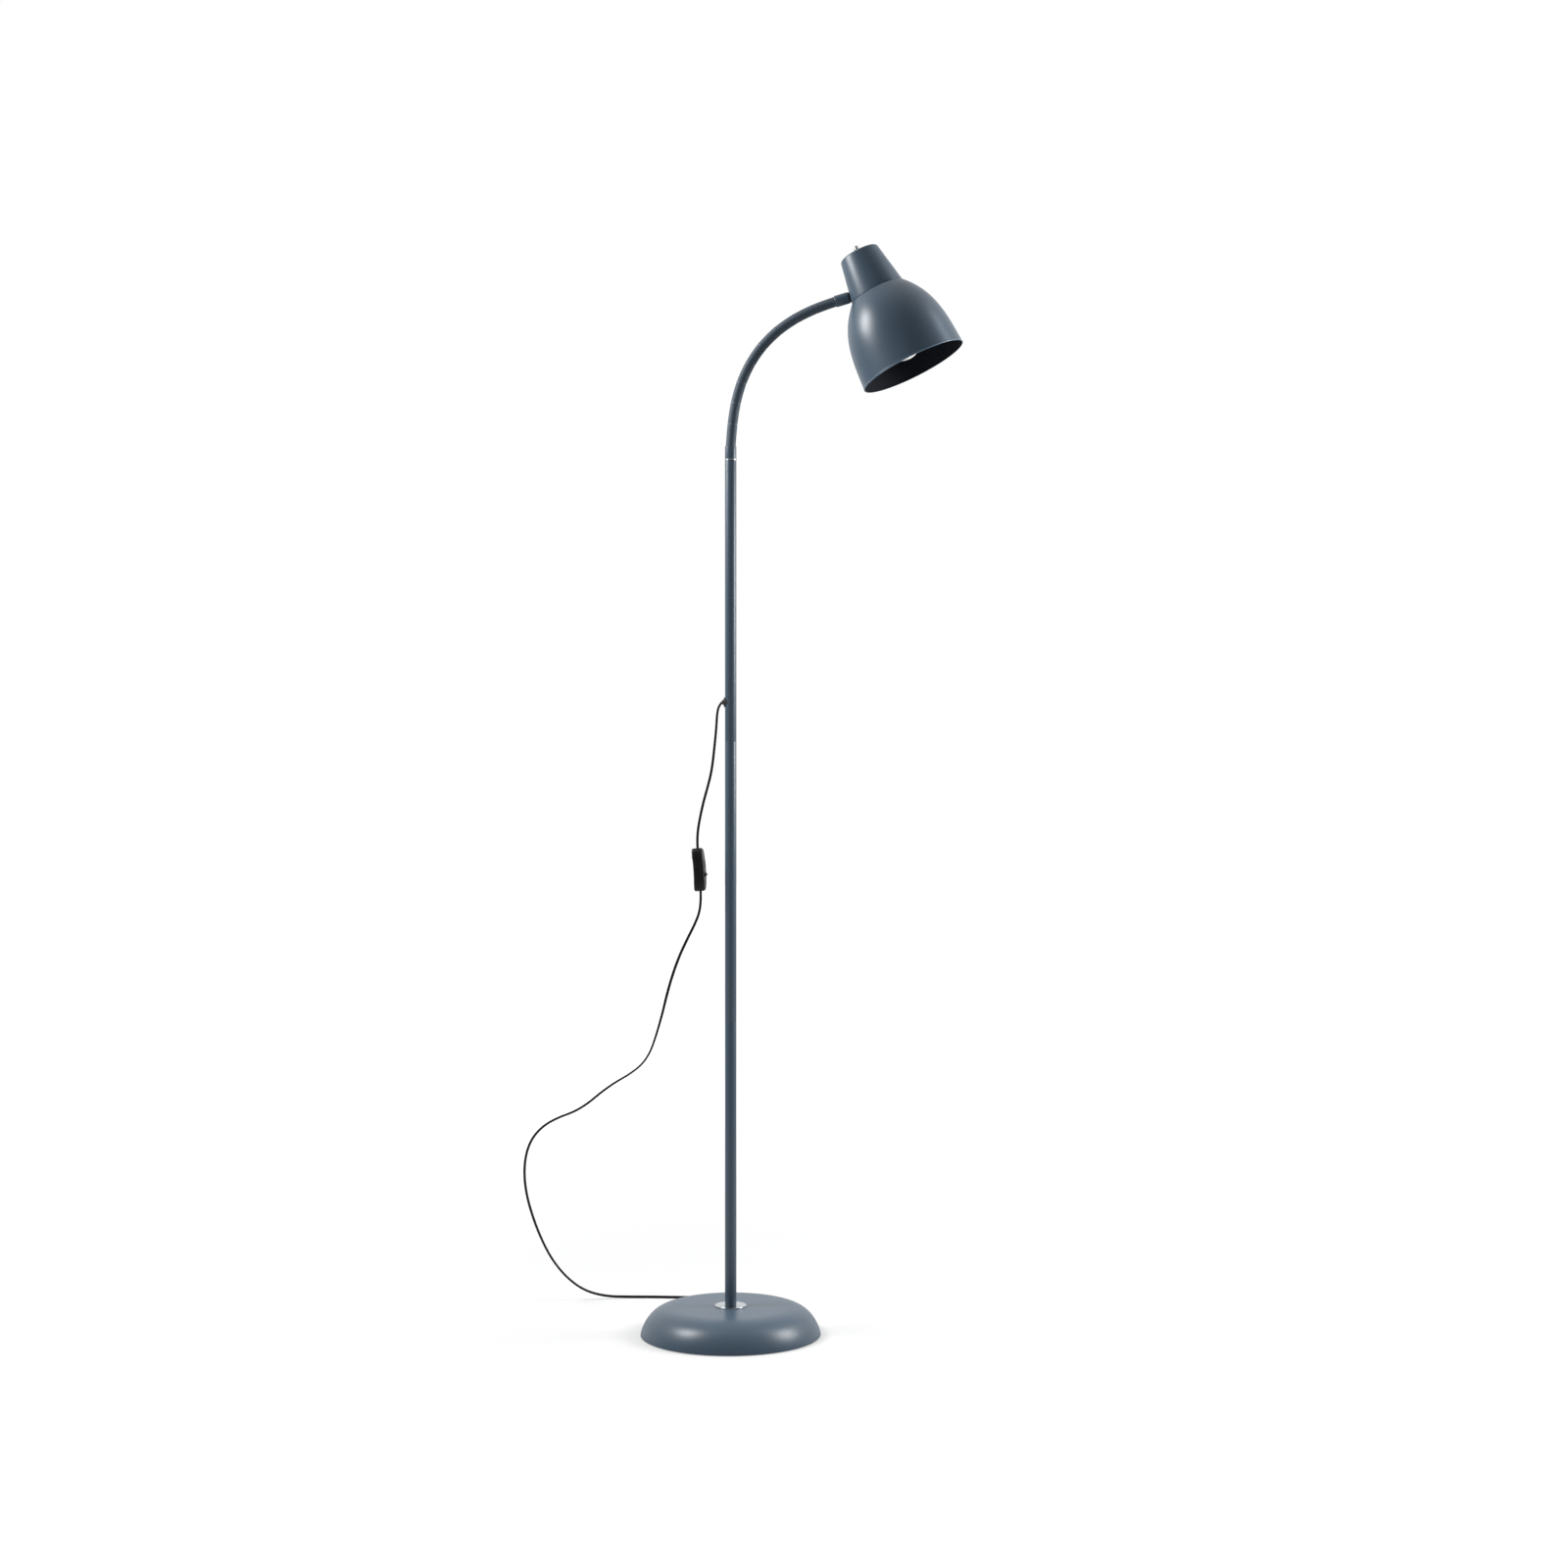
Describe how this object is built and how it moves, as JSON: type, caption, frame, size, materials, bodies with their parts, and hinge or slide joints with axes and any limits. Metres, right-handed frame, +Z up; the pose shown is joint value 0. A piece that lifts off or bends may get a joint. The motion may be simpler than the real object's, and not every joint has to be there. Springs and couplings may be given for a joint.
{
  "type": "gooseneck reading floor lamp",
  "caption": "Floor lamp with a weighted round base, slim straight pole, bendable gooseneck and small bell shade; its cord has an in-line rocker switch.",
  "frame": {"origin": "centre of the base's underside, on the pole's axis at the floor", "axes": "+Z up the pole, +X towards the head, +Y away from the viewer when the head is on the right"},
  "size_m": [0.6364, 0.3395, 1.507],
  "materials": {
    "lamp_paint": "satin slate blue-grey powder coat",
    "neck_sleeve": "matt slate blue-grey sleeve with very fine rings",
    "weight_iron": "raw casting",
    "foot_rubber": "matt black foam rubber",
    "ring_chrome": "polished plate",
    "zinc_steel": "zinc plated",
    "knob_steel": "satin nickel",
    "black_rubber": "matt black",
    "black_plastic": "fine satin moulding",
    "cord_sheath": "smooth satin black sheath",
    "holder_plastic": "matt black",
    "contact_brass": "plain",
    "bulb_glass": "white frosted",
    "bulb_cap_metal": "thin rolled screw cap"
  },
  "bodies": {
    "root": {"base_pad": "foot_rubber", "base_weight": "weight_iron", "base_shell": "lamp_paint", "base_ring": "ring_chrome", "base_bolt": "zinc_steel", "base_lock_washer": "zinc_steel", "base_washer": "zinc_steel", "foot_insert": "zinc_steel", "pole_lower": "lamp_paint", "pole_middle": "lamp_paint", "pole_upper": "lamp_paint", "pole_coupler_lower": "zinc_steel", "pole_coupler_upper": "zinc_steel", "pole_top_insert": "zinc_steel", "cord_grommet": "black_rubber", "pole_cable": "cord_sheath", "cable_clamp": "black_rubber", "neck_collar": "lamp_paint", "neck_nipple_lower": "zinc_steel", "switch_back": "black_plastic", "switch_front": "black_plastic", "switch_pin": "zinc_steel", "switch_contacts": "contact_brass", "switch_screws": "zinc_steel", "switch_clamps": "black_plastic", "plug_body": "black_plastic", "plug_pins": "contact_brass", "cord_upper": "cord_sheath", "cord_lower": "cord_sheath", "cord_coil": "cord_sheath", "cord_tail": "cord_sheath", "cord_tie": "black_rubber"},
    "link_01": {"neck_link_01": "neck_sleeve"},
    "link_02": {"neck_link_02": "neck_sleeve"},
    "link_03": {"neck_link_03": "neck_sleeve"},
    "link_04": {"neck_link_04": "neck_sleeve"},
    "link_05": {"neck_link_05": "neck_sleeve"},
    "link_06": {"neck_link_06": "neck_sleeve"},
    "link_07": {"neck_link_07": "neck_sleeve"},
    "link_08": {"neck_link_08": "neck_sleeve"},
    "link_09": {"neck_link_09": "neck_sleeve"},
    "head": {"neck_ferrule": "lamp_paint", "neck_nipple_upper": "zinc_steel", "neck_washer": "black_rubber", "neck_nut": "zinc_steel", "cup": "lamp_paint", "shade": "lamp_paint", "lampholder": "holder_plastic", "lampholder_thread": "contact_brass", "lampholder_contact": "contact_brass", "shade_ring": "holder_plastic", "holder_bracket": "zinc_steel", "bracket_screws": "zinc_steel", "top_knob": "knob_steel", "knob_nut": "zinc_steel", "bulb_glass": "bulb_glass", "bulb_cap": "bulb_cap_metal", "bulb_tip": "contact_brass"},
    "rocker": {"switch_rocker": "black_plastic"}
  },
  "joints": [
    {"name": "neck_swing", "type": "hinge", "parent": "root", "child": "link_01", "pos_m": [0, 0, 1.233], "axis": [0, 0, 1], "range_deg": [-150, 150]},
    {"name": "neck_bend_1", "type": "hinge", "parent": "link_01", "child": "link_02", "pos_m": [0.00243, 0, 1.26234], "axis": [0, 1, 0], "range_deg": [-3.93, 3.14]},
    {"name": "neck_bend_2", "type": "hinge", "parent": "link_02", "child": "link_03", "pos_m": [0.00686, 0, 1.29145], "axis": [0, 1, 0], "range_deg": [-6.99, 5.59]},
    {"name": "neck_bend_3", "type": "hinge", "parent": "link_03", "child": "link_04", "pos_m": [0.0148, 0, 1.31981], "axis": [0, 1, 0], "range_deg": [-9.15, 7.32]},
    {"name": "neck_bend_low", "type": "hinge", "parent": "link_04", "child": "link_05", "pos_m": [0.02715, 0, 1.34654], "axis": [0, 1, 0], "range_deg": [-10.4, 8.32]},
    {"name": "neck_bend_high", "type": "hinge", "parent": "link_05", "child": "link_06", "pos_m": [0.04412, 0, 1.3706], "axis": [0, 1, 0], "range_deg": [-10.75, 12.9]},
    {"name": "neck_bend_6", "type": "hinge", "parent": "link_06", "child": "link_07", "pos_m": [0.06528, 0, 1.39107], "axis": [0, 1, 0], "range_deg": [-10.21, 12.25]},
    {"name": "neck_bend_7", "type": "hinge", "parent": "link_07", "child": "link_08", "pos_m": [0.08973, 0, 1.40748], "axis": [0, 1, 0], "range_deg": [-8.75, 10.51]},
    {"name": "neck_bend_8", "type": "hinge", "parent": "link_08", "child": "link_09", "pos_m": [0.1164, 0, 1.41997], "axis": [0, 1, 0], "range_deg": [-6.4, 7.68]},
    {"name": "head_side", "type": "hinge", "parent": "link_09", "child": "head", "pos_m": [0.14429, 0, 1.42941], "axis": [0.2656, 0, -0.9641], "range_deg": [-25, 25]},
    {"name": "rocker", "type": "hinge", "parent": "root", "child": "rocker", "pos_m": [-0.04011, 0, 0.6453], "axis": [0, 1, 0], "range_deg": [0, 16]}
  ],
  "couplings": [
    {"joint": "neck_bend_1", "follows": "neck_bend_low", "ratio": 0.37749},
    {"joint": "neck_bend_2", "follows": "neck_bend_low", "ratio": 0.67179},
    {"joint": "neck_bend_3", "follows": "neck_bend_low", "ratio": 0.8793},
    {"joint": "neck_bend_6", "follows": "neck_bend_high", "ratio": 0.94883},
    {"joint": "neck_bend_7", "follows": "neck_bend_high", "ratio": 0.81371},
    {"joint": "neck_bend_8", "follows": "neck_bend_high", "ratio": 0.59464}
  ]
}
